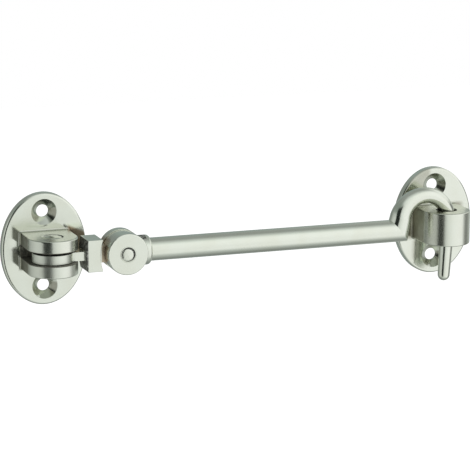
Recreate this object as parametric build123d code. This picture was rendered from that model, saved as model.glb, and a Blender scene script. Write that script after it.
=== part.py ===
"""Hook latch with a universal joint: a rod hook on an oval plate, latched into the eye of a second plate.

Frame: the origin is the centre of the base plate's back, which lies on the wall. +X runs along the rod
to the keep plate, +Y goes into the wall and +Z is up. All sizes are in millimetres.
"""
import os
from math import cos, radians, sin, tan

from build123d import *

# Oval plates
plate_width = 30.5
plate_height = 40.0
plate_thickness = 3.0
plate_rim_radius = 0.9
plate_spacing = 150.0
screw_inset = 6.75
screw_hole_diameter = 4.4
screw_mouth_diameter = 9.2

# Lugs of the base plate and eye of the keep plate
boss_radius = 8.75
boss_standoff = 10.5
boss_edge_radius = 0.45
boss_root_radius = 0.6
lug_thickness = 4.3
lug_slot = 4.5
eye_height = 12.2
eye_mouth_chamfer = 0.3

# Upright pin, riveted into countersinks in the lugs
upright_pin_diameter = 5.0
upright_pin_flare = 1.5
upright_pin_crown = 0.25

# Swivel knuckle: tongue between the lugs, square block, and tongue in the fork
tongue_setback = 1.6
tongue_neck_width = 6.8
block_length = 5.5
block_height = 11.3
block_depth = 9.8
block_left_bulge = 0.7
block_right_hollow = 1.0
block_edge_radius = 0.25
fork_tongue_thickness = 4.2
fork_tongue_setback = 0.3
fork_tongue_neck_height = 6.0

# Fork head
cheek_radius = 7.35
cheek_thickness = 3.6
cheek_edge_radius = 0.4
collar_step = 1.2
collar_web = 1.9
collar_edge_radius = 1.3

# Cross pin, riveted flush with the cheeks
cross_pin_diameter = 5.2
cross_pin_crown = 0.25
cross_pin_mouth_chamfer = 0.3

# Hook rod
rod_diameter = 8.2
spigot_diameter = 5.0
hook_leg_lean = 11.5
hook_leg_diameter = 8.0
hook_arch_radius = 9.6
hook_arch_rise = 2.9
hook_shoulder_diameter = 6.8
hook_crown_diameter = 5.8
hook_pin_diameter = 5.4
hook_pin_lean = 3.0
hook_pin_offset = 0.5
hook_pin_projection = 12.2
hook_tip_diameter = 4.5

# Clearances
rivet_clearance = 0.02
pin_clearance = 0.05
tongue_upper_clearance = 1.1
tongue_lower_clearance = 0.3
block_clearance = 2.6
cheek_side_clearance = 0.3
cheek_rim_clearance = 1.3
fork_root_clearance = 0.5
spigot_clearance = 0.02
eye_clearance = 1.05

# Places that follow from the sizes above
plate_front = -plate_thickness
axis_y = plate_front - boss_standoff
keep_x = plate_spacing
screw_spacing = plate_height - 2 * screw_inset
stack_height = 2 * lug_thickness + lug_slot
tongue_thickness = lug_slot - tongue_upper_clearance - tongue_lower_clearance
rod_z = (tongue_lower_clearance - tongue_upper_clearance) / 2
tongue_radius = boss_radius - tongue_setback
block_left = boss_radius + block_clearance
block_right = block_left + block_length
block_middle = (block_left + block_right) / 2
cross_pin_x = block_right + cheek_rim_clearance + cheek_radius
fork_tongue_radius = cheek_radius - fork_tongue_setback
fork_slot = fork_tongue_thickness + 2 * cheek_side_clearance
fork_slot_radius = fork_tongue_radius + fork_root_clearance
fork_depth = fork_slot + 2 * cheek_thickness
collar_reach = fork_slot_radius + collar_web
collar_end_x = cross_pin_x + collar_reach
eye_radius = hook_pin_diameter / 2 + eye_clearance
hook_tip_z = -eye_height / 2 - hook_pin_projection
arch_z = rod_z + hook_arch_rise
arch_lead = hook_arch_radius / cos(radians(hook_pin_lean)) - arch_z * tan(radians(hook_pin_lean))
arch_x = keep_x + hook_pin_offset - arch_lead
overrun = 1.0

# Ways of setting a shape on its plane
from_bottom = (Align.CENTER, Align.CENTER, Align.MIN)
from_top = (Align.CENTER, Align.CENTER, Align.MAX)
from_left = (Align.MIN, Align.CENTER, Align.CENTER)
from_right = (Align.MAX, Align.CENTER, Align.CENTER)


def facing_out(x, y, z):
    """Plane parallel to the wall that faces out of it."""
    return Plane(origin=(x, y, z), x_dir=(1, 0, 0), z_dir=(0, -1, 0))


def along_rod(x):
    """Plane square to the rod's axis."""
    return Plane(origin=(x, axis_y, rod_z), x_dir=(0, 1, 0), z_dir=(1, 0, 0))


def upright(x, shape):
    """Sets a shape on the axis of the upright pin or of the eye."""
    return Pos(x, axis_y, 0) * shape


def beside_rod(x, shape):
    """Sets a shape level with the rod, which the knuckle carries a little below the plates' middle."""
    return Pos(x, axis_y, rod_z) * shape


def crosswise(shape):
    """Sets a shape on the axis of the cross pin."""
    return facing_out(cross_pin_x, axis_y, rod_z) * shape


def both_ends(half_length, feature):
    """A feature made for the upper end of an axis, set there and turned over at the lower end."""
    upper = Pos(0, 0, half_length) * feature
    return upper + Rot(180, 0, 0) * upper


def rivet_crown(radius, rise):
    """Low spherical crown that hammering leaves on a pin's end."""
    ball_radius = (radius**2 + rise**2) / (2 * rise)
    ball = Pos(0, 0, rise - ball_radius) * Sphere(ball_radius)
    return ball & Cylinder(radius, rise, align=from_bottom)


def screw_hole(x, z):
    """Clearance hole with a countersink for one wood screw."""
    hole_radius = screw_hole_diameter / 2
    mouth_radius = screw_mouth_diameter / 2
    front = facing_out(x, plate_front, z)
    shank = front * Cylinder(hole_radius, plate_thickness + overrun, align=from_top)
    sink = front * Cone(hole_radius, mouth_radius, mouth_radius - hole_radius, align=from_top)
    return shank + sink


def drill_screws(casting, x):
    """Takes the two screw holes out of a plate."""
    for side in (-1, 1):
        casting -= screw_hole(x, side * screw_spacing / 2)
    return casting


def oval_plate(x):
    """Oval rose, flat on the wall, with a rounded front rim."""
    outline = Plane.XZ * Pos(x, 0) * Ellipse(plate_width / 2, plate_height / 2)
    plate = extrude(outline, plate_thickness)
    rim = plate.edges().sort_by(Axis.Y)[0]
    return fillet(rim, plate_rim_radius)


def round_boss(x, bottom, top, outer_ends):
    """Round-nosed boss that stands out of the plate, with the edges of its outer end faces rounded."""
    root_y = plate_front / 2
    shank = Pos(x, axis_y) * Rectangle(2 * boss_radius, root_y - axis_y, align=(Align.CENTER, Align.MIN))
    nose = Pos(x, axis_y) * Circle(boss_radius)
    boss = extrude(Pos(0, 0, bottom) * (shank + nose), top - bottom)
    faces = boss.faces().sort_by(Axis.Z)
    rounded = []
    for end in outer_ends:
        rounded += faces[end].edges().sort_by(Axis.Y)[:-1]
    return fillet(rounded, boss_edge_radius)


def blend_root(casting, x, half_height):
    """Casting fillet where the bosses meet the front of the plate."""
    slack = 0.01

    def at_root(edge):
        box = edge.bounding_box()
        on_front = max(abs(box.min.Y - plate_front), abs(box.max.Y - plate_front)) < slack
        beside_boss = max(box.max.X - x, x - box.min.X) < boss_radius + slack
        return on_front and beside_boss and max(box.max.Z, -box.min.Z) < half_height + slack

    return fillet(casting.edges().filter_by(at_root), boss_root_radius)


def upright_rivet(clearance):
    """Shank and countersunk heads of the upright pin; a clearance makes the hole that they fill."""
    radius = upright_pin_diameter / 2 + clearance
    head = Cone(radius, radius + upright_pin_flare, upright_pin_flare, align=from_top)
    return upright(0, Cylinder(radius, stack_height) + both_ends(stack_height / 2, head))


def make_upright_pin():
    head_radius = upright_pin_diameter / 2 + upright_pin_flare
    crown = rivet_crown(head_radius, upright_pin_crown)
    return upright_rivet(0) + upright(0, both_ends(stack_height / 2, crown))


def make_base_plate():
    lowest, highest = 0, -1
    casting = oval_plate(0)
    casting += round_boss(0, lug_slot / 2, stack_height / 2, [highest])
    casting += round_boss(0, -stack_height / 2, -lug_slot / 2, [lowest])
    casting = blend_root(casting, 0, stack_height / 2)
    casting = drill_screws(casting, 0)
    return casting - upright_rivet(rivet_clearance)


def make_keep_plate():
    lowest, highest = 0, -1
    casting = oval_plate(keep_x)
    casting += round_boss(keep_x, -eye_height / 2, eye_height / 2, [lowest, highest])
    casting = blend_root(casting, keep_x, eye_height / 2)
    casting = drill_screws(casting, keep_x)
    mouth = Cone(eye_radius, eye_radius + eye_mouth_chamfer, eye_mouth_chamfer, align=from_top)
    return casting - upright(keep_x, Cylinder(eye_radius, eye_height) + both_ends(eye_height / 2, mouth))


def knuckle_block():
    """Block between the tongues, bowed out towards the lugs and hollow towards the fork."""
    top = block_height / 2
    left = ThreePointArc((block_left, -top), (block_left - block_left_bulge, 0), (block_left, top))
    right = ThreePointArc((block_right, top), (block_right - block_right_hollow, 0), (block_right, -top))
    side = make_face(left + Line(left @ 1, right @ 0) + right + Line(right @ 1, left @ 0))
    block = extrude(facing_out(0, axis_y, rod_z) * side, block_depth / 2, both=True)
    return fillet(block.edges(), block_edge_radius)


def make_swivel_knuckle():
    tongue = beside_rod(0, Cylinder(tongue_radius, tongue_thickness))
    neck = beside_rod(0, Box(block_middle, tongue_neck_width, tongue_thickness, align=from_left))
    fork_tongue = crosswise(Cylinder(fork_tongue_radius, fork_tongue_thickness))
    web_length = cross_pin_x - block_middle
    web = Box(web_length, fork_tongue_thickness, fork_tongue_neck_height, align=from_left)
    knuckle = tongue + neck + knuckle_block() + beside_rod(block_middle, web) + fork_tongue
    knuckle -= upright(0, Cylinder(upright_pin_diameter / 2 + pin_clearance, stack_height))
    return knuckle - crosswise(Cylinder(cross_pin_diameter / 2 + pin_clearance, fork_depth))


def make_fork_head():
    drum = crosswise(Cylinder(cheek_radius, fork_depth))
    drum = fillet(drum.edges().filter_by(GeomType.CIRCLE), cheek_edge_radius)
    collar_radius = rod_diameter / 2 + collar_step
    collar = along_rod(cross_pin_x) * Cylinder(collar_radius, collar_reach, align=from_bottom)
    collar = fillet(collar.edges().sort_by(Axis.X)[-1], collar_edge_radius)
    slot = crosswise(Cylinder(fork_slot_radius, fork_slot))
    opening = 2 * (cheek_radius + overrun)
    slot += beside_rod(cross_pin_x, Box(opening, fork_slot, opening, align=from_right))
    hole_radius = cross_pin_diameter / 2 + rivet_clearance
    mouth_radius = hole_radius + cross_pin_mouth_chamfer
    mouth = Cone(hole_radius, mouth_radius, cross_pin_mouth_chamfer, align=from_top)
    pin_hole = crosswise(Cylinder(hole_radius, fork_depth) + both_ends(fork_depth / 2, mouth))
    socket_radius = spigot_diameter / 2 + spigot_clearance
    socket = along_rod(cross_pin_x) * Cylinder(socket_radius, collar_reach, align=from_bottom)
    return drum + collar - slot - pin_hole - socket


def make_cross_pin():
    radius = cross_pin_diameter / 2
    crown = rivet_crown(radius, cross_pin_crown)
    return crosswise(Cylinder(radius, fork_depth) + both_ends(fork_depth / 2, crown))


def square_to_hook(x, z, heading_x, heading_z):
    """Plane square to the hook's centre line, turned so that every section starts at its back."""
    return Plane(origin=(x, axis_y, z), x_dir=(0, 1, 0), z_dir=(heading_x, 0, heading_z))


def arch_section(angle, diameter):
    """Round section of the arch, at an angle above its far side."""
    turn = radians(angle)
    x = arch_x + hook_arch_radius * cos(turn)
    z = arch_z + hook_arch_radius * sin(turn)
    return square_to_hook(x, z, sin(turn), -cos(turn)) * Circle(diameter / 2)


def hook_pin():
    """Tapered pin with a round nose, which leans back under the arch to clear the eye as the hook lifts."""
    pin_radius = hook_pin_diameter / 2
    tip_radius = hook_tip_diameter / 2
    lean = radians(hook_pin_lean)
    top_x = arch_x + hook_arch_radius * cos(lean)
    top_z = arch_z - hook_arch_radius * sin(lean)
    length = (top_z - hook_tip_z) / cos(lean)
    taper = Polyline((0, -length), (0, 0), (pin_radius, 0), (tip_radius, -length))
    nose = JernArc(taper @ 1, (0, -1), tip_radius, -90)
    section = make_face(taper + nose + Line(nose @ 1, taper @ 0))
    return square_to_hook(top_x, top_z, sin(lean), cos(lean)) * revolve(Plane.XZ * section, Axis.Z)


def make_hook_rod():
    rod_radius = rod_diameter / 2
    lean = radians(hook_leg_lean)

    # The leg leaves the rod at a mitred elbow and runs straight into the arch
    leg_top_x = arch_x - hook_arch_radius * cos(lean)
    leg_rise = hook_arch_rise + hook_arch_radius * sin(lean)
    elbow_x = leg_top_x - leg_rise * tan(lean)
    half_turn = radians(90 - hook_leg_lean) / 2
    mitre = square_to_hook(elbow_x, rod_z, cos(half_turn), sin(half_turn))
    elbow = mitre * Ellipse(rod_radius, rod_radius / cos(half_turn))
    leg_top = arch_section(180 - hook_leg_lean, hook_leg_diameter)
    leg = loft([elbow, leg_top], ruled=True)

    # The arch draws down from the leg's thickness to the pin's
    arch = loft(
        [
            leg_top,
            arch_section(135, hook_shoulder_diameter),
            arch_section(90, hook_crown_diameter),
            arch_section(45, (hook_crown_diameter + hook_pin_diameter) / 2),
            arch_section(-hook_pin_lean, hook_pin_diameter),
        ]
    )

    bar = along_rod(collar_end_x) * Cylinder(rod_radius, keep_x - collar_end_x, align=from_bottom)
    bar = split(bar, bisect_by=mitre, keep=Keep.BOTTOM)
    spigot = along_rod(collar_end_x) * Cylinder(spigot_diameter / 2, collar_web, align=from_top)
    return bar + spigot + leg + arch + hook_pin()


pieces = {
    "base_plate": make_base_plate(),
    "upright_pin": make_upright_pin(),
    "swivel_knuckle": make_swivel_knuckle(),
    "cross_pin": make_cross_pin(),
    "fork_head": make_fork_head(),
    "hook_rod": make_hook_rod(),
    "keep_plate": make_keep_plate(),
}

os.makedirs("parts", exist_ok=True)
for name, piece in pieces.items():
    export_step(piece, f"parts/{name}.step")
    print(f"{name}: {piece.volume:.1f} mm3, {len(piece.solids())} solid")
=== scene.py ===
import math
from functools import partial

import bpy
import numpy as np
from mathutils import Matrix, Vector


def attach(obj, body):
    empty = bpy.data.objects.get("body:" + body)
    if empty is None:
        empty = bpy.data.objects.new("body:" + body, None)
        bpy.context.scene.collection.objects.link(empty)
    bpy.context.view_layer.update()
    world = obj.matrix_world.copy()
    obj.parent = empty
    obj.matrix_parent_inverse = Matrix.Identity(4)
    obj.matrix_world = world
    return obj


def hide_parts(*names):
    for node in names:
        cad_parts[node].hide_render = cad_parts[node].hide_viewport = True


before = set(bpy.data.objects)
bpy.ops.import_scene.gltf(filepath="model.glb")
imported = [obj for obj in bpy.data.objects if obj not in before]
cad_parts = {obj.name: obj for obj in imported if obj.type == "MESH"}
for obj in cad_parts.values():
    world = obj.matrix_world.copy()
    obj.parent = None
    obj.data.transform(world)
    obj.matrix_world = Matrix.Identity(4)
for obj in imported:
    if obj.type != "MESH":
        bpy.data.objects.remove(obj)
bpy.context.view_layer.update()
print("frame loaded:", sorted(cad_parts))

white = (1, 1, 1, 1)
black = (0, 0, 0, 1)


# Shader maths: a wrapped socket, so that sums on sockets add their own Math nodes
class Wire:
    def __init__(self, tree, socket=None):
        self.tree = tree
        self.socket = socket

    def node(self, kind, settings=None, inputs=None, output=0):
        made = self.tree.nodes.new(kind)
        for name, value in (settings or {}).items():
            if name == "stops":  # a ramp's places and colours
                for place, _ in value[len(made.color_ramp.elements):]:
                    made.color_ramp.elements.new(place)
                for element, (place, colour) in zip(made.color_ramp.elements, value):
                    element.position = place
                    element.color = colour
            else:
                setattr(made, name, value)
        for name, value in (inputs or {}).items():
            if isinstance(value, Wire):
                self.tree.links.new(value.socket, made.inputs[name])
            else:
                made.inputs[name].default_value = value
        return Wire(self.tree, made.outputs[output] if made.outputs else None)

    def math(self, operation, *values):
        return self.node("ShaderNodeMath", {"operation": operation}, dict(enumerate(values)))

    def __add__(self, other):
        return self.math("ADD", self, other)

    def __sub__(self, other):
        return self.math("SUBTRACT", self, other)

    def __rsub__(self, other):
        return self.math("SUBTRACT", other, self)

    def __mul__(self, other):
        return self.math("MULTIPLY", self, other)

    def __truediv__(self, other):
        return self.math("DIVIDE", self, other)

    def __pow__(self, other):
        return self.math("POWER", self, other)

    __radd__ = __add__
    __rmul__ = __mul__

    def size(self):  # without its sign
        return self.math("ABSOLUTE", self)

    def most(self, *others):  # the largest of several values
        found = self
        for other in others:
            found = self.math("MAXIMUM", found, other)
        return found

    def held(self, low, high):  # kept between two values
        return self.math("MINIMUM", self.math("MAXIMUM", self, low), high)

    def ramp(self, low, high):  # 0 below low, 1 above high, eased between
        settings = {"interpolation_type": "SMOOTHSTEP"}
        return self.node("ShaderNodeMapRange", settings, {"Value": self, "From Min": low, "From Max": high})

    def fall(self, low, high):  # the other way: 1 below low, 0 above high
        return 1 - self.ramp(low, high)

    def between(self, low, high, soft):  # 1 from low to high, with soft ends
        return self.ramp(low - soft, low + soft) * self.fall(high - soft, high + soft)

    def blend(self, first, second):  # mixes two colours by this value; 6, 7 and 2 are Mix's colour sockets
        settings = {"data_type": "RGBA"}
        return self.node("ShaderNodeMix", settings, {"Factor": self, 6: first, 7: second}, output=2)

    def parts(self):  # x, y and z of a vector
        split = self.node("ShaderNodeSeparateXYZ", inputs={0: self}).socket.node
        return [Wire(self.tree, out) for out in split.outputs]

    def place(self):  # where on the object
        return self.node("ShaderNodeTexCoord", output="Object")

    def stretched(self, scale):
        return self.node("ShaderNodeMapping", inputs={"Vector": self, "Scale": scale})

    def noise(self, scale, detail=2.0):
        return self.node("ShaderNodeTexNoise", inputs={"Vector": self, "Scale": scale, "Detail": detail})


def hypot(a, b):
    return (a * a + b * b) ** 0.5


def around(place, ends):  # the two ends of a ramp, given as steps from a place
    return place + ends[0], place + ends[1]


# Studio: camera at the photograph's place, and a pale floor under a white world
studio = {
    "photoPixels": 470,
    "azimuth": -20.371,
    "elevation": 12.218,
    "roll": 0.265,
    "distance": 0.78706,
    "target": (0.06914, -0.008, 0.00114),
    "focalPixels": 2197.8,
    "sensor": 36.0,
    "clip": (0.01, 50),
    "floorDrop": 0.60,
    "floorSize": 8.0,
    "floorShade": 0.85,
    "floorLift": 0.75,  # brings the lit floor up to white and leaves its shadow
    "ambient": 0.42,
}


def direction(azimuth, elevation):  # in degrees: azimuth 0 points to the front, -Y, and 90 to the right, +X
    a = np.radians(azimuth)
    e = np.radians(elevation)
    return np.stack([np.sin(a) * np.cos(e), -np.cos(a) * np.cos(e), np.sin(e)], axis=-1)


def makeCamera():
    back = Vector(direction(studio["azimuth"], studio["elevation"]))
    right = Vector((0, 0, 1)).cross(back).normalized()
    up = back.cross(right)
    roll = math.radians(studio["roll"])
    rolledRight = right * math.cos(roll) + up * math.sin(roll)
    rolledUp = up * math.cos(roll) - right * math.sin(roll)
    eye = Vector(studio["target"]) + back * studio["distance"]
    lens = bpy.data.cameras.new("photoCamera")
    lens.sensor_fit = "HORIZONTAL"
    lens.sensor_width = studio["sensor"]
    lens.lens = studio["focalPixels"] * studio["sensor"] / studio["photoPixels"]
    lens.clip_start, lens.clip_end = studio["clip"]
    camera = bpy.data.objects.new("photoCamera", lens)
    axes = Matrix((rolledRight, rolledUp, back)).transposed().to_4x4()
    camera.matrix_world = Matrix.Translation(eye) @ axes
    bpy.context.scene.collection.objects.link(camera)
    bpy.context.scene.camera = camera


def seenDirectly(wire):  # 1 for camera, glossy and transmission rays
    path = wire.node("ShaderNodeLightPath").socket.node
    rays = ["Is Camera Ray", "Is Glossy Ray", "Is Transmission Ray"]
    camera, glossy, transmission = [Wire(wire.tree, path.outputs[name]) for name in rays]
    return (camera + glossy + transmission).held(0.0, 1.0)


def makeWorld():
    world = bpy.data.worlds.new("paleStudio")
    bpy.context.scene.world = world
    world.use_nodes = True
    world.node_tree.nodes.clear()
    wire = Wire(world.node_tree)
    strength = studio["ambient"] + (1 - studio["ambient"]) * seenDirectly(wire)
    sky = wire.node("ShaderNodeBackground", inputs={"Color": white, "Strength": strength})
    wire.node("ShaderNodeOutputWorld", inputs={"Surface": sky})


def meshObject(name, points, faces):
    mesh = bpy.data.meshes.new(name)
    mesh.from_pydata(points.reshape(-1, 3).tolist(), [], faces)
    mesh.polygons.foreach_set("use_smooth", np.ones(len(mesh.polygons), dtype=bool))
    mesh.update()
    made = bpy.data.objects.new(name, mesh)
    bpy.context.scene.collection.objects.link(made)
    return made


def gridFaces(rows, columns, closed=False):  # quads of a grid, joined round its columns if closed
    across = columns if closed else columns - 1
    row, column = np.meshgrid(np.arange(rows - 1), np.arange(across), indexing="ij")
    here = row * columns + column
    beside = row * columns + (column + 1) % columns
    quads = np.stack([here, beside, beside + columns, here + columns], axis=-1)
    return quads.reshape(-1, 4).tolist()


def freshMaterial(name):
    material = bpy.data.materials.new(name)
    material.use_nodes = True
    material.node_tree.nodes.clear()
    return material, Wire(material.node_tree)


def makeFloor():  # a level square below the object
    half = studio["floorSize"] / 2
    x, y = np.meshgrid([-half, half], [-half, half])
    low = np.full_like(x, -studio["floorDrop"])
    floor = meshObject("floor", np.stack([x, y, low], axis=-1), gridFaces(2, 2))
    material, wire = freshMaterial("paleFloor")
    shade = studio["floorShade"]
    matt = wire.node("ShaderNodeBsdfDiffuse", inputs={"Color": (shade, shade, shade, 1)})
    lift = studio["floorLift"] * seenDirectly(wire)
    glow = wire.node("ShaderNodeEmission", inputs={"Color": white, "Strength": lift})
    both = wire.node("ShaderNodeAddShader", inputs={0: matt, 1: glow})
    wire.node("ShaderNodeOutputMaterial", inputs={"Surface": both})
    floor.data.materials.append(material)


# Light tent: a globe that only the metal mirrors. Shades run round the horizon from behind, by the left, the
# front and the right to behind again, and fade to dimmer greys above and below. A black card stands on its
# left, and a window is high on its right. Pairs are the degrees over which a part begins or ends, and a third
# value is the softness of both ends.
tent = {
    "centre": (0.075, -0.0135, 0.0),
    "radius": 0.50,
    "columns": 96,
    "rows": 49,
    "horizon": [
        (-180, (0.30, 0.35, 0.33)),
        (-165, (0.24, 0.26, 0.25)),
        (-145, (0.24, 0.26, 0.24)),
        (-122, (0.46, 0.48, 0.46)),
        (-95, (0.62, 0.64, 0.62)),
        (-66, (0.62, 0.64, 0.62)),
        (-24, (0.62, 0.64, 0.62)),
        (-6, (0.80, 0.82, 0.80)),
        (20, (0.95, 0.96, 0.95)),
        (50, (1.00, 1.00, 1.00)),
        (66, (0.99, 0.99, 0.99)),
        (73, (0.40, 0.41, 0.40)),
        (86, (0.16, 0.16, 0.15)),
        (94, (0.22, 0.23, 0.22)),
        (112, (0.48, 0.50, 0.48)),
        (128, (0.50, 0.53, 0.50)),
        (160, (0.29, 0.34, 0.33)),
        (180, (0.30, 0.35, 0.33)),
    ],
    "fade": (30, 62),  # elevations over which the horizon gives way to the greys above and below
    "above": (0.36, 0.80, 0.33),  # shade overhead, gain towards the front, least shade
    "below": (0.34, 0.46, 0.25),
    "greySeam": (-6, 6),
    "greyTint": (0.95, 1.00, 0.97, 1),
    "lowDim": 0.06,  # how much dimmer the horizon is below its middle than above
    "dimSeam": (-14, 14),
    "leftReach": (0.30, 0.62),  # how far to the left, as a share of the radius
    "leftRise": (12, 34),  # elevations over which the left side's light ends
    "leftTop": (60, 80),
    "leftShade": (0.24, 0.27, 0.25, 1),
    "rightAzimuth": (68, 120, 6),
    "rightRise": (8, 16),
    "rightShade": (0.92, 0.93, 0.92, 1),
    "cardAzimuth": (-63.0, -25.0),
    "cardSoft": (-0.8, 0.8),
    "cardElevation": (-40, 42, 1.5),
    "cardLean": 0.30,  # its left edge leans out upwards
    "cardLevel": -12,  # elevation at which that edge has its own azimuth
    "cardShade": (0.012, 0.016, 0.013, 1),
}


def tentColour(wire):
    x, y, z = wire.place().parts()
    azimuth = x.math("ARCTAN2", x, 0 - y) * math.degrees(1)
    elevation = z.math("ARCTAN2", z, hypot(x, y)) * math.degrees(1)
    stops = [((place + 180) / 360, (*colour, 1)) for place, colour in tent["horizon"]]
    horizon = wire.node("ShaderNodeValToRGB", {"stops": stops}, {"Fac": azimuth / 360 + 0.5})
    front = (0 - y) / tent["radius"]
    greys = []
    for shade, gain, least in (tent["below"], tent["above"]):
        greys.append((shade + gain * front).held(least, 1.0))
    grey = greys[0] + (greys[1] - greys[0]) * elevation.ramp(*tent["greySeam"])
    cap = grey.blend(black, tent["greyTint"])
    dim = tent["lowDim"] * elevation.fall(*tent["dimSeam"])
    colour = elevation.size().ramp(*tent["fade"]).blend(dim.blend(horizon, black), cap)
    left = (0 - x / tent["radius"]).ramp(*tent["leftReach"])
    left = left * elevation.ramp(*tent["leftRise"]) * elevation.fall(*tent["leftTop"])
    colour = left.blend(colour, tent["leftShade"])
    right = azimuth.between(*tent["rightAzimuth"])
    right = right * elevation.ramp(*tent["rightRise"]) * elevation.fall(*tent["fade"])
    colour = right.blend(colour, tent["rightShade"])
    leftEdge, rightEdge = [around(edge, tent["cardSoft"]) for edge in tent["cardAzimuth"]]
    leaning = azimuth + tent["cardLean"] * (elevation - tent["cardLevel"])
    card = leaning.ramp(*leftEdge) * azimuth.fall(*rightEdge) * elevation.between(*tent["cardElevation"])
    return card.blend(colour, tent["cardShade"])


def makeTent():
    # globe: azimuth runs round the columns and elevation up the rows
    rows, columns = tent["rows"], tent["columns"]
    turn = np.linspace(-180, 180, columns, endpoint=False)
    azimuth, elevation = np.meshgrid(turn, np.linspace(-90, 90, rows))
    points = tent["radius"] * direction(azimuth, elevation)
    globe = meshObject("lightTent", points, gridFaces(rows, columns, closed=True))
    globe.location = tent["centre"]
    material, wire = freshMaterial("lightTent")
    glow = wire.node("ShaderNodeEmission", inputs={"Color": tentColour(wire), "Strength": 1.0})
    wire.node("ShaderNodeOutputMaterial", inputs={"Surface": glow})
    globe.data.materials.append(material)
    for ray in ("visible_camera", "visible_diffuse", "visible_shadow", "visible_transmission"):
        setattr(globe, ray, False)


softbox = {"azimuth": 38, "elevation": 58, "distance": 1.2, "size": 0.8, "watts": 9.0}


def makeSoftbox():
    lamp = bpy.data.lights.new("softbox", "AREA")
    lamp.shape = "SQUARE"
    lamp.size = softbox["size"]
    lamp.energy = softbox["watts"]
    holder = bpy.data.objects.new("softbox", lamp)
    aim = Vector(direction(softbox["azimuth"], softbox["elevation"]))
    holder.location = Vector(tent["centre"]) + aim * softbox["distance"]
    holder.rotation_euler = aim.to_track_quat("Z", "Y").to_euler()
    holder.visible_glossy = False  # the metal mirrors the tent instead
    bpy.context.scene.collection.objects.link(holder)


# Satin nickel plate: pale grey, a soft grain, stains where no polisher reaches and painted shade in a dull
# grey-brown, painted brown shade, and painted black shade in slots, gaps, bores and grooves
nickel = {
    "pale": (0.835, 0.872, 0.785, 1),
    "warm": (0.812, 0.842, 0.745, 1),
    "warmScale": 140.0,
    "warmRange": (0.35, 0.7),
    "blotchDetail": 3.0,
    "alongX": (90, 2600, 2600),  # stretches the grain of drawn and planed pieces
    "fineScale": 2400.0,
    "grainRoughness": 0.06,
    "grainDepth": 0.0000010,
    "polish": 0.05,  # roughness that a polished edge loses
    "polishScale": 600.0,
    "polishRange": (0.25, 0.6),
    "wear": 0.10,  # roughness that a worn place gains
    "stainAndShade": (0.270, 0.255, 0.185, 1),
    "stainAndShadeScale": 420.0,
    "stainAndShadeLevel": 0.8,
    "stainAndShadeSpread": 0.4,
    "stainAndShadeRoughness": 0.08,
    "paintedBrownShade": (0.360, 0.265, 0.170, 1),
    "paintedShade": (0.020, 0.022, 0.018, 1),
    "paintedShadeScale": 1500.0,
    "paintedShadeRange": (0.3, 0.6),
    "paintedShadeLeast": 0.55,
    "paintedShadeRoughness": 0.3,
}


def nickelSkin(name, grain, smooth, stainAndShade=None, paintedBrownShade=None, paintedShade=None, polish=None, wear=None):
    # grain makes streaks from object coordinates, smooth is the mean roughness, and the other five give masks
    # from x, y and z in metres
    material, wire = freshMaterial(name)
    place = wire.place()
    spot = place.parts()
    blotches = place.noise(nickel["warmScale"], nickel["blotchDetail"])
    colour = blotches.ramp(*nickel["warmRange"]).blend(nickel["pale"], nickel["warm"])
    streaks = grain(place)
    roughness = smooth + (streaks - 0.5) * nickel["grainRoughness"]
    metallic = 1.0
    if polish:
        bright = polish(*spot) * place.noise(nickel["polishScale"]).ramp(*nickel["polishRange"])
        roughness = roughness - nickel["polish"] * bright
    if wear:
        roughness = roughness + nickel["wear"] * wear(*spot)
    # stains, and painted shade in hollows, cones, on the eye's nose and under and inside the arch, in one
    # dull grey-brown
    if stainAndShade:
        uneven = place.noise(nickel["stainAndShadeScale"], nickel["blotchDetail"]) - 0.5
        dull = stainAndShade(*spot) * (nickel["stainAndShadeLevel"] + nickel["stainAndShadeSpread"] * uneven)
        colour = dull.held(0.0, 1.0).blend(colour, nickel["stainAndShade"])
        roughness = roughness + nickel["stainAndShadeRoughness"] * dull
    # painted brown shade beside the lugs, on the knuckle's web, and painted reflection of the block on the
    # fork's rims
    if paintedBrownShade:
        colour = paintedBrownShade(*spot).blend(colour, nickel["paintedBrownShade"])
    # painted black shade in the slot, the eye's bore, the knuckle's gaps, the fork's corner and the rivet
    # grooves
    if paintedShade:
        patchy = place.noise(nickel["paintedShadeScale"]).ramp(*nickel["paintedShadeRange"])
        shadeAmount = paintedShade(*spot) * (nickel["paintedShadeLeast"] + (1 - nickel["paintedShadeLeast"]) * patchy)
        colour = shadeAmount.blend(colour, nickel["paintedShade"])
        roughness = roughness + nickel["paintedShadeRoughness"] * shadeAmount
        metallic = 1 - shadeAmount
    bump = {"Height": streaks, "Strength": 1.0, "Distance": nickel["grainDepth"]}
    relief = wire.node("ShaderNodeBump", inputs=bump)
    inputs = {"Base Color": colour, "Metallic": metallic, "Roughness": roughness, "Normal": relief}
    skin = wire.node("ShaderNodeBsdfPrincipled", inputs=inputs)
    wire.node("ShaderNodeOutputMaterial", inputs={"Surface": skin})
    return material


def grainAlongX(place):
    return place.stretched(nickel["alongX"]).noise(1.0)


def grainFine(place):
    return place.noise(nickel["fineScale"])


def dressNode(node, material):
    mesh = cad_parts[node].data
    mesh.materials.clear()
    mesh.materials.append(material)


# Axes of the pins and the rod. Sizes from here on are in metres and repeat the CAD's. Pairs are where a mask
# begins and ends, and a third value is the softness of both ends.
axis = {"y": -0.0135, "crossX": 0.0255, "rodZ": -0.0004}

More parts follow.
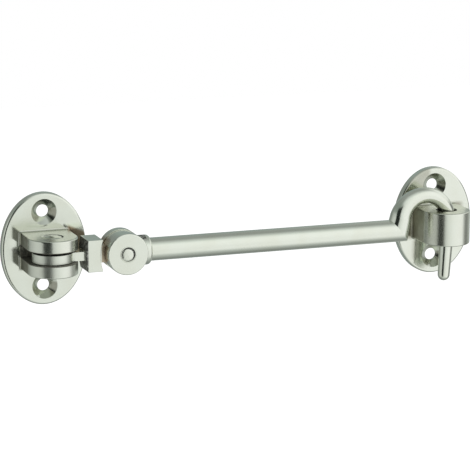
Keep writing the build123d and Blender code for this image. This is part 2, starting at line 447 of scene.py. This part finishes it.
# Both plates: ovals with a round-nosed boss. Aside is away from the plate's middle, either way. Tall is up or
# down, and for the boss it is counted from the boss's ends.
plate = {
    "roughness": 0.245,
    "halfWidth": 0.01525,
    "halfHeight": 0.020,
    "rimShare": (0.90, 0.97),  # polished rim, as a share of the oval
    "frontY": (-0.0028, -0.0024),  # in front of the plate's own thickness
    "faceFromY": (-0.0032, -0.0031),
    "faceToY": (-0.0028, -0.0026),
    "backY": (-0.0006, -0.0001),
    "backStain": 0.35,  # left as cast
    "bossY": (-0.0044, -0.0038),  # the boss, clear of its root
    # painted shade on the boss's flanks
    "flankAside": (0.0078, 0.0086),
    "flankTall": (-0.0006, 0.0012),
    "flankY": (-0.0147, -0.0121),
    "endDarkening": 0.4,
    "topAside": (0.0085, 0.0087),
    "topTall": (-0.0002, 0.0003),
    "topSoft": 0.0001,
    # painted shade in the corner at the boss's root
    "rootShade": 0.5,
    "rootAside": (0.0090, 0.0098),
    "rootTall": (0.0002, 0.0010),
    "rootY": (-0.0044, -0.0032),
    "edgeTall": (-0.0007, 0.0),  # polished edge of the boss
    "edgeSoft": 0.0002,
    "smoothAside": (0.0110, 0.0140),  # the face mirrors the boss that stands on it
    "smoothFace": 1.5,
}


def inFront(y):
    return y.fall(*plate["frontY"])


def onFace(y):
    return y.ramp(*plate["faceFromY"]) * y.fall(*plate["faceToY"])


def backStain(y):
    return plate["backStain"] * y.ramp(*plate["backY"])


def bossDarkening(side, x, y, z):  # painted shade on its flanks and at its root, and darker end faces
    aside = (x - side["x"]).size()
    height = z.size()
    end = side["bossHalf"]
    flank = aside.ramp(*plate["flankAside"]) * aside.fall(*side["flankFade"])
    flank = flank * height.fall(*around(end, plate["flankTall"])) * y.ramp(*plate["flankY"])
    top = height.between(*around(end, plate["topTall"]), plate["topSoft"]) * aside.fall(*plate["topAside"])
    root = height.fall(*around(end, plate["rootTall"])) * aside.fall(*plate["rootAside"])
    root = root * y.ramp(*plate["rootY"])
    return flank, plate["endDarkening"] * top, plate["rootShade"] * root


# Cones of the screw holes, one above and one below: painted shade for their dark reflections, dark at the
# lower right, and less so at the upper left
screwSink = {
    "height": 0.01325,
    "away": (0.0043, 0.0046),
    "y": (-0.0006, -0.0003),
    "lowerRightShade": 0.85,
    "rightX": (0.0012, 0.0028),
    "rightLift": (0.0006, 0.0018),
    "upperLeftShade": 0.5,
    "leftX": (-0.0005, 0.0010),
    "leftLift": (0.0002, 0.0026),
    "leastShade": 0.03,
}


def sinkAt(side, x, y, z):
    away = hypot(x - side["x"], z.size() - screwSink["height"])
    return away.fall(*screwSink["away"]) * y.fall(*screwSink["y"])


# painted shade in the cones
def sinkShade(side, x, y, z):
    across = x - side["x"]
    lift = z - screwSink["height"] * z.math("SIGN", z)
    right = screwSink["lowerRightShade"] * across.ramp(*screwSink["rightX"]) * lift.fall(*screwSink["rightLift"])
    left = screwSink["upperLeftShade"] * across.fall(*screwSink["leftX"]) * lift.ramp(*screwSink["leftLift"])
    return sinkAt(side, x, y, z) * right.most(left, screwSink["leastShade"])


def platePolish(side, x, y, z):  # the oval's rim, the boss's edges and the cones
    rim = hypot((x - side["x"]) / plate["halfWidth"], z / plate["halfHeight"]).ramp(*plate["rimShare"])
    edge = z.size().between(*around(side["bossHalf"], plate["edgeTall"]), plate["edgeSoft"])
    return rim.most(edge * y.fall(*plate["bossY"]), sinkAt(side, x, y, z))


def plateSmooth(side, x, y, z):  # the face round the boss, and the cones
    near = (x - side["x"]).size().fall(*plate["smoothAside"]) * z.size().fall(*side["smoothTall"])
    face = plate["smoothFace"] * near * onFace(y)
    return face.most(side["smoothSink"] * sinkAt(side, x, y, z))


# Base: two lugs, with painted black shade in the slot between them
basePlate = {
    "x": 0.0,
    "bossHalf": 0.00655,
    "flankFade": (0.0086, 0.0104),
    "flankFootY": (-0.0034, -0.0032),
    "slotAside": (0.0086, 0.0090),
    "slotTall": (0.00235, 0.00255),
    "slotShade": 0.8,
    "sideShadeX": (0.0086, 0.0146, 0.0008),  # painted black shade on the face, where the knuckle swings
    "sideShadeZ": (-0.0005, 0.0068, 0.0010),
    "sideShade": 0.4,
    "faceShade": 0.9,  # painted brown shade, right of the lugs and down to the right
    "faceShadeX": (0.0080, 0.0090),
    "faceShadeSlope": 0.45,
    "faceShadeBand": (0.0030, 0.0118, 0.0006),
    "scuffZ": (-0.0030, -0.0020),  # the lower lug
    "smoothTall": (0.0080, 0.0105),
    "smoothSink": 0.9,
}


def slot(x, y, z):
    gap = (x - basePlate["x"]).size().fall(*basePlate["slotAside"]) * z.size().fall(*basePlate["slotTall"])
    return gap * inFront(y)


# painted black shade in the slot and on the face beside the lugs
def slotAndSideShade(x, y, z):
    sideDark = x.between(*basePlate["sideShadeX"]) * z.between(*basePlate["sideShadeZ"]) * inFront(y)
    return (basePlate["slotShade"] * slot(x, y, z)).most(basePlate["sideShade"] * sideDark)


# painted brown shade on the face, right of the lugs
def baseFaceShade(x, y, z):
    across = x - basePlate["x"]
    band = (z + basePlate["faceShadeSlope"] * across).between(*basePlate["faceShadeBand"])
    return basePlate["faceShade"] * across.ramp(*basePlate["faceShadeX"]) * band * onFace(y)


# painted shade of the boss, slot and cones, and the back's stain
def baseStainAndShade(x, y, z):
    flank, top, root = bossDarkening(basePlate, x, y, z)
    flank = flank * y.fall(*basePlate["flankFootY"])
    hollows = flank.most(top, root, slot(x, y, z)) * inFront(y)
    return hollows.most(sinkShade(basePlate, x, y, z), backStain(y))


def baseWear(x, y, z):
    scuffed = z.fall(*basePlate["scuffZ"]) * y.fall(*plate["bossY"])
    return scuffed - plateSmooth(basePlate, x, y, z)


# Keep: a U-shaped eye, painted black inside as shade
keepPlate = {
    "x": 0.150,
    "bossHalf": 0.0061,
    "flankFade": (0.0092, 0.0130),
    "boreAway": (0.00387, 0.00401),
    "boreTall": (-0.00012, -0.00004),
    "noseShade": 0.3,  # painted shade on the left side of the eye's nose
    "noseX": (-0.0050, -0.0030),
    "noseY": (-0.0215, -0.0135, 0.0010),
    "archShade": 0.6,  # painted reflection of the hook's arch, on top of the eye under it
    "archX": (-0.0030, -0.0010),
    "archTall": (-0.0002, -0.0001),
    "faceShade": 0.7,  # painted shade below the eye on its left
    "faceShadeX": (-0.0082, -0.0046, 0.0014),
    "faceShadeZ": (-0.0142, -0.0066, 0.0012),
    "smoothTall": (0.0145, 0.0170),
    "smoothSink": 0.4,
}


# painted black shade inside the eye's bore
def bore(x, y, z):
    inside = hypot(x - keepPlate["x"], y - axis["y"]).fall(*keepPlate["boreAway"])
    return inside * z.size().fall(*around(keepPlate["bossHalf"], keepPlate["boreTall"]))


# painted shade of the boss, eye and cones, and the back's stain
def keepStainAndShade(x, y, z):
    flank, top, root = bossDarkening(keepPlate, x, y, z)
    across = x - keepPlate["x"]
    nose = keepPlate["noseShade"] * across.fall(*keepPlate["noseX"]) * y.between(*keepPlate["noseY"])
    under = z.ramp(*around(keepPlate["bossHalf"], keepPlate["archTall"]))
    under = keepPlate["archShade"] * across.fall(*keepPlate["archX"]) * under
    hollows = flank.most(top, root, nose, under) * inFront(y)
    faceShade = keepPlate["faceShade"] * across.between(*keepPlate["faceShadeX"]) * z.between(*keepPlate["faceShadeZ"])
    return hollows.most(sinkShade(keepPlate, x, y, z), backStain(y), faceShade * onFace(y))


def keepWear(x, y, z):
    return 0 - plateSmooth(keepPlate, x, y, z)


def dressPlates():
    base = {"stainAndShade": baseStainAndShade, "paintedBrownShade": baseFaceShade, "paintedShade": slotAndSideShade, "wear": baseWear}
    base["polish"] = partial(platePolish, basePlate)
    dressNode("base_plate", nickelSkin("satinBase", grainFine, plate["roughness"], **base))
    keep = {"stainAndShade": keepStainAndShade, "paintedShade": bore, "wear": keepWear}
    keep["polish"] = partial(platePolish, keepPlate)
    dressNode("keep_plate", nickelSkin("satinKeep", grainFine, plate["roughness"], **keep))


# Knuckle: flat tongue between the lugs, square block, and a web into the fork. Tall is counted from the rod.
knuckle = {
    "roughness": 0.235,
    "webShade": 0.8,
    "webX": (0.01705, 0.0225, 0.0002),
    "webTall": (0.0042, 0.0056),
    "tongueWear": 1.4,
    "tongueX": (0.0070, 0.0074),
    "tongueTall": (0.00143, 0.00151),  # painted black shade on its top and bottom
    "tongueAway": (0.0070, 0.0072),
    "blockShade": 0.95,  # painted black shade on the block's side towards the lugs, but not on the tongue's neck
    "blockX": (0.0100, 0.0114, 0.0001),
    "neckTall": (0.00165, 0.00175),
    "neckDeep": (0.0035, 0.0036),
}


# painted brown shade on the web, in the gap between block and fork
def knuckleShade(x, y, z):
    web = x.between(*knuckle["webX"]) * (z - axis["rodZ"]).size().fall(*knuckle["webTall"])
    return knuckle["webShade"] * web


def knuckleWear(x, y, z):
    return knuckle["tongueWear"] * x.fall(*knuckle["tongueX"])


# painted black shade in the slot and beside the block
def knuckleBlackShade(x, y, z):
    height = (z - axis["rodZ"]).size()
    depth = y - axis["y"]
    faces = height.ramp(*knuckle["tongueTall"]) * hypot(x, depth).fall(*knuckle["tongueAway"])
    offNeck = height.ramp(*knuckle["neckTall"]).most(depth.size().ramp(*knuckle["neckDeep"]))
    return faces.most(knuckle["blockShade"] * x.between(*knuckle["blockX"]) * offNeck)


# Fork: round cheeks with polished edges, a painted reflection of the block's dark side on the rims that face
# the block, and a beaded collar
fork = {
    "roughness": 0.225,
    "edgeAway": (0.00675, 0.00735, 0.0002),
    "rimShade": 0.7,
    "rimX": (0.0193, 0.0207),
    "rimTall": (0.0044, 0.0056),
    "rimY": (-0.0181, -0.0171),
    "cornerX": (0.0309, 0.0333, 0.0003),  # painted black shade in the corner of cheeks and collar
    "cornerZ": (0.0035, 0.0040),
    "cornerDeep": (0.0028, 0.0034),
}


def cheekEdge(x, y, z):
    return hypot(x - axis["crossX"], z - axis["rodZ"]).between(*fork["edgeAway"])


# painted reflection of the block's dark side on the cheeks' rims
def forkShade(x, y, z):
    rim = x.fall(*fork["rimX"]) * (z - axis["rodZ"]).size().fall(*fork["rimTall"])
    return fork["rimShade"] * rim * y.ramp(*fork["rimY"])


# painted black shade in the corner of cheeks and collar
def forkCornerShade(x, y, z):
    corner = x.between(*fork["cornerX"]) * z.ramp(*fork["cornerZ"])
    return corner * (y - axis["y"]).size().fall(*fork["cornerDeep"])


# Hook: drawn bar, with painted shade on the inside of its arch
hook = {
    "roughness": 0.175,
    "archX": 0.14102,
    "archZ": 0.0025,
    "insideShade": 0.8,
    "insideAway": (0.0064, 0.0080),
    "insideZ": (0.001, 0.003),
}


# painted shade on the inside of the arch
def archShade(x, y, z):
    inside = hypot(x - hook["archX"], z - hook["archZ"]).fall(*hook["insideAway"])
    return hook["insideShade"] * inside * z.ramp(*hook["insideZ"])


def dressJoint():
    block = {"paintedBrownShade": knuckleShade, "paintedShade": knuckleBlackShade, "wear": knuckleWear}
    dressNode("swivel_knuckle", nickelSkin("satinKnuckle", grainAlongX, knuckle["roughness"], **block))
    head = {"paintedBrownShade": forkShade, "paintedShade": forkCornerShade, "polish": cheekEdge}
    dressNode("fork_head", nickelSkin("satinFork", grainFine, fork["roughness"], **head))
    dressNode("hook_rod", nickelSkin("satinBar", grainAlongX, hook["roughness"], stainAndShade=archShade))


# Rivets: shanks with flared, hammered ends, each with a groove pressed off centre round its boss and painted
# dark in it as shade
rivet = {
    "roughness": 0.20,
    "columns": 72,
    "grooveRows": 9,
    "bossRows": 20,
    "bossReach": 0.97,  # share of the boss that its rows cover, before the point in the middle
    "bossTouch": 1.001,  # rows up to this share of the boss belong to it
    "edgeDrop": 0.6,  # how far the boss's edge is knocked down, as a share of its rise, and how suddenly
    "edgePower": 8,
    "flareInset": 0.00003,  # keeps the flare's edge inside the CAD's, and below the rim
    "rimInset": 0.00005,
    "grooveSoft": (-0.00006, 0.00006),
    "rimSoft": (-0.00008, 0.00002),
}
uprightRivet = {
    "node": "upright_pin",
    "body": "base",
    "centre": (0.0, axis["y"], 0.0),
    "axes": ((1, 0, 0), (0, 1, 0), (0, 0, 1)),  # across, across, along
    "halfLength": 0.00655,
    "shank": 0.0025,
    "flare": 0.0040,
    "flareDepth": 0.0015,
    "rim": 0.0039,
    "boss": 0.0034,
    "offset": (-0.00038, -0.00022),
    "groove": 0.00030,
    "shadeFrom": (-0.1, 0.5),  # the groove's painted shade is left off on the side that the boss was pressed towards
    "rise": 0.00030,
    "facets": 13,
    "dull": 0.35,
    "seed": 8,
}
crossRivet = {
    "node": "cross_pin",
    "body": "hook",
    "centre": (axis["crossX"], axis["y"], axis["rodZ"]),
    "axes": ((1, 0, 0), (0, 0, 1), (0, -1, 0)),
    "halfLength": 0.0060,
    "shank": 0.0026,
    "flare": 0.0029,
    "flareDepth": 0.00032,
    "rim": 0.0026,
    "boss": 0.0021,
    "offset": (-0.00017, -0.00017),
    "groove": 0.00030,
    "shadeFrom": (-2.2, 0.6),  # painted shade all round, and most at the upper right
    "rise": 0.00024,
    "facets": 9,
    "dull": 0.05,
    "seed": 3,
}


def hammered(a, b, pin, seed):
    # height of an end: the lowest of planes that touch a low dome at scattered points, so it has flat facets
    dice = np.random.default_rng(seed)
    out = pin["boss"] * np.sqrt(dice.random(pin["facets"]))
    turn = 2 * np.pi * dice.random(pin["facets"])
    spotA = (out * np.cos(turn))[:, None, None]
    spotB = (out * np.sin(turn))[:, None, None]
    square = pin["boss"] ** 2
    level = pin["rise"] * (1 - (spotA ** 2 + spotB ** 2) / square)
    slope = -2 * pin["rise"] / square
    return (level + slope * (spotA * (a - spotA) + spotB * (b - spotB))).min(axis=0)


def rivetEnd(pin, angle, seed):
    # rows from the flare's foot to the middle: cone, flat rim, round groove, then the faceted boss
    flare = [pin["shank"], pin["flare"] - rivet["flareInset"], pin["flare"] - rivet["rimInset"]]
    groove = np.linspace(pin["rim"], pin["boss"], rivet["grooveRows"])
    boss = pin["boss"] * (1 - np.linspace(0, rivet["bossReach"], rivet["bossRows"])[1:])
    radius = np.concatenate([flare, groove, boss])[:, None]
    a = radius * np.cos(angle)
    b = radius * np.sin(angle)
    inside = np.clip((pin["rim"] - radius) / (pin["rim"] - pin["boss"]), 0, 1)
    inside[:len(flare)] = 0  # shank and flare stay on the axis
    dip = pin["groove"] * np.sin(np.pi * inside)
    drop = rivet["edgeDrop"] * pin["rise"] * (radius / pin["boss"]) ** rivet["edgePower"]
    dome = hammered(a, b, pin, seed) - drop
    height = np.where(radius < pin["boss"] * rivet["bossTouch"], dome, -dip)
    height[0] = -pin["flareDepth"]
    height[1] = -rivet["flareInset"]
    offsetA, offsetB = pin["offset"]
    return np.stack([a + offsetA * inside, b + offsetB * inside, pin["halfLength"] + height], axis=-1)


def rivetPoints(pin):
    # one sweep of rings: the lower end from its middle outwards, the shank, and the upper end back to its
    # middle, then turned to the pin's own axes
    angle = np.linspace(0, 2 * np.pi, rivet["columns"], endpoint=False)[None, :]
    top = rivetEnd(pin, angle, pin["seed"])
    foot = rivetEnd(pin, angle, pin["seed"] + 1) * (1, 1, -1)
    return np.concatenate([foot[::-1], top]) @ np.array(pin["axes"], dtype=float) + pin["centre"]


def closedSweep(rings):
    # grid of rings with a point in the middle of each end ring
    rows, columns = rings.shape[:2]
    faces = gridFaces(rows, columns, closed=True)
    ends = np.stack([rings[0].mean(axis=0), rings[-1].mean(axis=0)])
    last = rows * columns
    column = np.arange(columns)
    after = (column + 1) % columns
    faces += np.stack([after, column, np.full(columns, last)], axis=-1).tolist()
    upper = (rows - 1) * columns
    faces += np.stack([upper + column, upper + after, np.full(columns, last + 1)], axis=-1).tolist()
    return np.concatenate([rings.reshape(-1, 3), ends]), faces


def makeRivet(pin):
    points, faces = closedSweep(rivetPoints(pin))
    piece = meshObject(pin["node"] + "_hammered", points, faces)
    first, second = [int(np.flatnonzero(way)[0]) for way in pin["axes"][:2]]

    def fromAxis(spot):
        return spot[first] - pin["centre"][first], spot[second] - pin["centre"][second]

    # painted shade in the groove, on one side
    def groove(*spot):
        a, b = fromAxis(spot)
        boss = hypot(a - pin["offset"][0], b - pin["offset"][1])
        ring = boss.ramp(*around(pin["boss"], rivet["grooveSoft"]))
        ring = ring * hypot(a, b).fall(*around(pin["rim"], rivet["rimSoft"]))
        return ring * ((a + b) / (math.sqrt(2) * pin["boss"])).ramp(*pin["shadeFrom"])

    def dull(*spot):
        return pin["dull"] * hypot(*fromAxis(spot)).fall(pin["boss"], pin["rim"])

    skin = nickelSkin("satin_" + pin["node"], grainFine, rivet["roughness"], stainAndShade=dull, paintedShade=groove)
    piece.data.materials.append(skin)
    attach(piece, pin["body"])
    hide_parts(pin["node"])


bpy.context.scene.view_settings.view_transform = "Standard"
makeCamera()
makeWorld()
makeFloor()
makeTent()
makeSoftbox()
print("studio ready")
dressPlates()
dressJoint()
print("castings dressed")
makeRivet(uprightRivet)
makeRivet(crossRivet)
print("rivets hammered")
